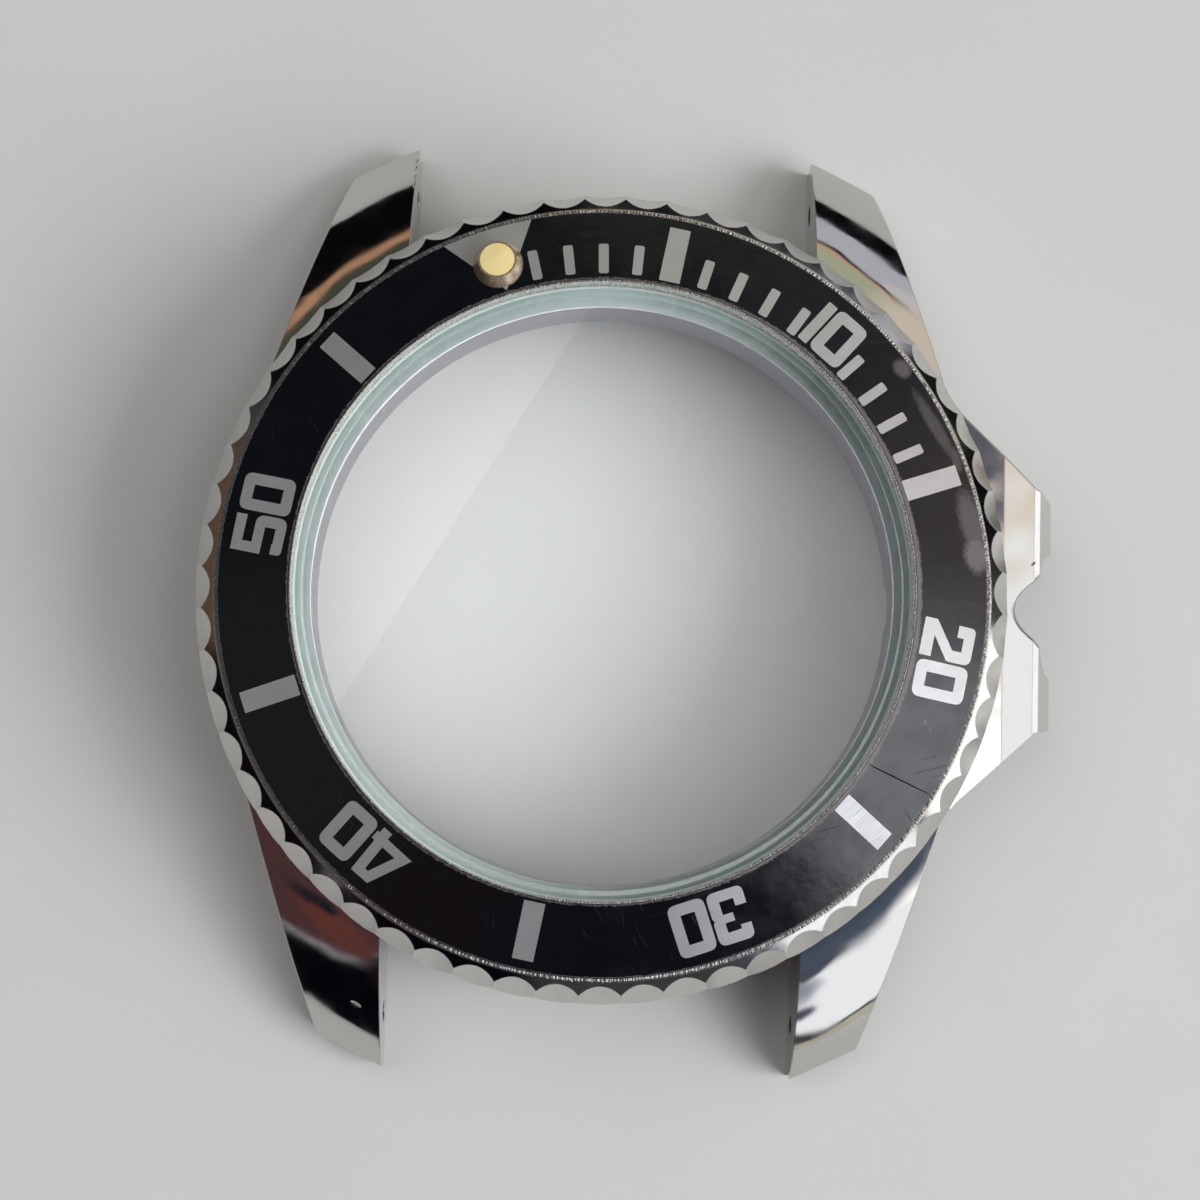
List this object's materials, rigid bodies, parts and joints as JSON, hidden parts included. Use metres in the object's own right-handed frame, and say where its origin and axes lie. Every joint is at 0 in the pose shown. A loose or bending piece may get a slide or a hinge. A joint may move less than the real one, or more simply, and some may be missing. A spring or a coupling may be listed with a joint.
{
  "type": "watch case",
  "caption": "Empty diver's watch case with lugs, crown guards, flat crystal and a one-way turning scalloped bezel that holds a minute insert and pip.",
  "frame": {"origin": "centre of the case back's opening, in the plane of the back rim", "axes": "+Z out through the crystal, +Y to 12 o'clock along the lugs, +X to the crown"},
  "size_m": [0.0438, 0.0484, 0.0107],
  "materials": {
    "polished_steel": "mirror polished stainless steel, hairline scratches",
    "turned_steel": "turned stainless steel",
    "mineral_glass": "clear mineral glass, greenish at its edge",
    "white_nylon": "moulded nylon",
    "black_rubber": "moulded nitrile rubber",
    "spring_steel": "tempered spring steel",
    "bezel_steel": "polished lips and points, satin scallops",
    "adhesive_tape": "double-sided adhesive film",
    "black_anodised_aluminium": "gloss black anodising, bare marks",
    "pip_brass": "polished, worn plating",
    "aged_lume": "aged luminous paint"
  },
  "bodies": {
    "case": {"middle_case": "polished_steel", "crown_tube": "turned_steel", "crystal": "mineral_glass", "crystal_gasket": "white_nylon", "case_back_gasket": "black_rubber", "click_spring": "spring_steel", "bezel_retaining_wire": "spring_steel"},
    "bezel": {"bezel_ring": "bezel_steel", "insert_adhesive_ring": "adhesive_tape", "bezel_insert": "black_anodised_aluminium", "pip_cup": "pip_brass", "pip_lume": "aged_lume"}
  },
  "joints": [
    {"name": "bezel_turn", "type": "hinge", "parent": "case", "child": "bezel", "pos_m": [0, 0, 0.0075], "axis": [0, 0, 1], "continuous": true}
  ]
}
